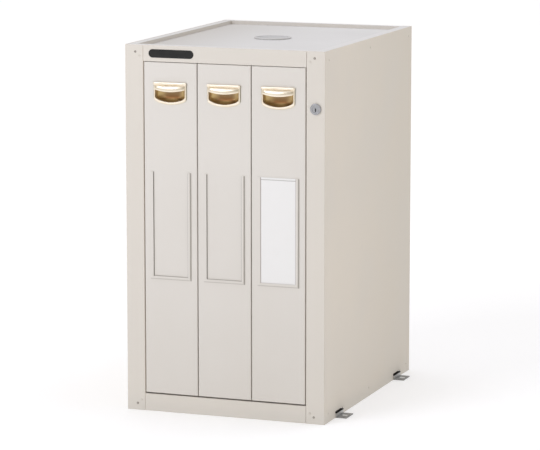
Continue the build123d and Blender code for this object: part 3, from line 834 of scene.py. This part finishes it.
gold = gold_plate()
for rack in racks:
    low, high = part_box(f"{rack}_handle_face")
    half = (high.x - low.x) / 2
    spot = np.array([(low.x + high.x) / 2, front_y, high.z])
    ring = rim_and_bowl(half) + spot
    bowl = grid_piece(f"{rack}_handle_rim_and_bowl", ring, wrap_rows=True, wrap_columns=True)
    bar = grid_piece(f"{rack}_handle_bar", bar_skin(half) + spot, wrap_columns=True)
    hood = grid_piece(f"{rack}_handle_hood", hood_skin() + spot)
    wall = hood.modifiers.new("wall", "SOLIDIFY")
    wall.thickness = hood_thick
    wall.offset = -1
    lip = hood.modifiers.new("lip", "BEVEL")
    lip.width = lip_width
    lip.segments = 2
    lip.limit_method = "ANGLE"
    for piece in (bowl, bar, hood):
        piece.data.materials.append(gold)
        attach(piece, f"{rack}_rack")
    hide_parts(f"{rack}_handle_face")
    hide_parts(f"{rack}_handle_cup")


# Nameplate: a thin dark plate with round ends stuck on the top rail, left blank. It is pressed
# with a narrow raised border round a flat field.
plate_tone = (0.010, 0.010, 0.010, 1)
plate_worn = (0.020, 0.019, 0.018, 1)
plate_index = 1.36
plate_border = 0.0010
plate_field = 0.0002
plate_edge = 0.0003
brush_length = 0.020
brush_width = 0.0003
bloom_size = 0.02
plate_low, plate_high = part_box("nameplate")


def plate_skin(end_count=48):
    """Plate with round ends: the outline is a run of the long middle widened by a half circle at
    each end, drawn in step by step to the middle line while a profile sets how far it stands."""
    radius = (plate_high.z - plate_low.z) / 2
    straight = (plate_high.x - plate_low.x) / 2 - radius
    thick = plate_high.y - plate_low.y
    turn = np.linspace(-np.pi / 2, 1.5 * np.pi, 2 * end_count, endpoint=False)
    centre = np.where(np.cos(turn) >= -1e-9, straight, -straight)
    stations = np.vstack([
        [(0.0, 0.0)],
        arc((0.0, plate_edge - thick), (plate_edge, -thick), count=4),
        arc((plate_border, -thick), (plate_border + plate_edge, plate_field - thick), count=4),
        [(radius, plate_field - thick)],
    ])
    shrink = radius - stations[:, 0][:, None]
    across = centre + shrink * np.cos(turn)
    level = shrink * np.sin(turn)
    depth = np.broadcast_to(stations[:, 1][:, None], across.shape)
    return np.stack([across, depth, level], axis=-1)


def dark_lacquer():
    """Near-black satin lacquer, with fine brushing along X and a faint bloom."""
    finish, shader, place = new_finish("dark_lacquer", IOR=plate_index)
    hair = place.hairs("X", brush_length, brush_width)
    cloud = place.noise(bloom_size, 2.0)
    bloom = cloud.rise(0.3, 0.8) * 0.7 + (hair - 0.5) * 0.4
    bloom.tint(plate_tone, plate_worn).feed(shader, "Base Color")
    (0.40 + (hair - 0.5) * 0.18).feed(shader, "Roughness")
    hair.bump(hair_height).feed(shader, "Normal")
    return finish


plate_x = (plate_low.x + plate_high.x) / 2
plate_z = (plate_low.z + plate_high.z) / 2
plate_spot = np.array([plate_x, plate_high.y, plate_z])
plate = grid_piece("blank_nameplate", plate_skin() + plate_spot, wrap_columns=True)
plate.data.materials.append(dark_lacquer())
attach(plate, "cabinet")
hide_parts("nameplate")


# Stage: a pale floor that runs on past the picture and glows a little, so that it stays white
# far away. Two soft boxes, a wide soft sun and a warm fill light the cabinet, and the camera
# looks at its front and right side from a little above.
floor_half = 40.0
floor_tone = (0.80, 0.80, 0.80, 1)
near_glow = (0.71, 0.71, 0.71, 1)
far_glow = (1, 1, 1, 1)
glow_near = 0.7
glow_far = 2.5
glow_strength = 0.40
fill_tone = (1.0, 0.92, 0.74, 1)
fill_strength = 0.37
sun_tone = (0.84, 0.87, 1.0)
sun_power = 1.58
sun_spread = math.radians(100)
sun_lean = math.radians(-18)
view_turn = math.radians(20.24)
view_drop = math.radians(9.36)
view_place = (2.230, -6.061, 1.439)
view_lens = 195.4
view_reach = 200

floor_mesh = bpy.data.meshes.new("floor")
corner_ways = ((-1, -1), (1, -1), (1, 1), (-1, 1))
floor_corners = [(x * floor_half, y * floor_half, 0) for x, y in corner_ways]
floor_mesh.from_pydata(floor_corners, [], [(0, 1, 2, 3)])
floor = bpy.data.objects.new("floor", floor_mesh)
bpy.context.scene.collection.objects.link(floor)
floor_paint, floor_shader, floor_place = new_finish("floor_paint", Roughness=0.9)
floor_shader.inputs["Base Color"].default_value = floor_tone
floor_shader.inputs["Emission Strength"].default_value = glow_strength
far = floor_place.axis("X").slant(floor_place.axis("Y")).rise(glow_near, glow_far)
far.tint(near_glow, far_glow).feed(floor_shader, "Emission Color")
floor_mesh.materials.append(floor_paint)

world = bpy.data.worlds.new("studio")
world.use_nodes = True
fill = world.node_tree.nodes["Background"].inputs
fill["Color"].default_value = fill_tone
fill["Strength"].default_value = fill_strength
bpy.context.scene.world = world


def soft_box(name, place, aim, size, power, tone):
    """Soft square light at a place, turned to face another."""
    lamp = bpy.data.lights.new(name, "AREA")
    lamp.shape = "SQUARE"
    lamp.size = size
    lamp.energy = power
    lamp.color = tone
    holder = bpy.data.objects.new(name, lamp)
    bpy.context.scene.collection.objects.link(holder)
    holder.location = place
    towards = Vector(aim) - Vector(place)
    holder.rotation_euler = towards.to_track_quat("-Z", "Y").to_euler()


soft_box("front_light", place=(-1.9, -3.6, 2.6), aim=(0, -0.3, 0.55), size=2.2, power=72,
         tone=(0.86, 0.89, 1.0))
soft_box("over_light", place=(0.55, 0.1, 2.1), aim=(0.1, 0.1, 0.8), size=0.9, power=4.3,
         tone=(0.73, 0.80, 1.0))
sun = bpy.data.lights.new("sky_light", "SUN")
sun.energy = sun_power
sun.angle = sun_spread
sun.color = sun_tone
sun_holder = bpy.data.objects.new("sky_light", sun)
bpy.context.scene.collection.objects.link(sun_holder)
sun_holder.rotation_euler = (sun_lean, 0, 0)

camera = bpy.data.objects.new("camera", bpy.data.cameras.new("camera"))
bpy.context.scene.collection.objects.link(camera)
camera.data.lens = view_lens
camera.data.clip_end = view_reach
camera.location = view_place
ahead = Vector((-math.sin(view_turn), math.cos(view_turn), -math.tan(view_drop)))
camera.rotation_euler = ahead.to_track_quat("-Z", "Y").to_euler()
bpy.context.scene.camera = camera
bpy.context.scene.view_settings.view_transform = "Standard"
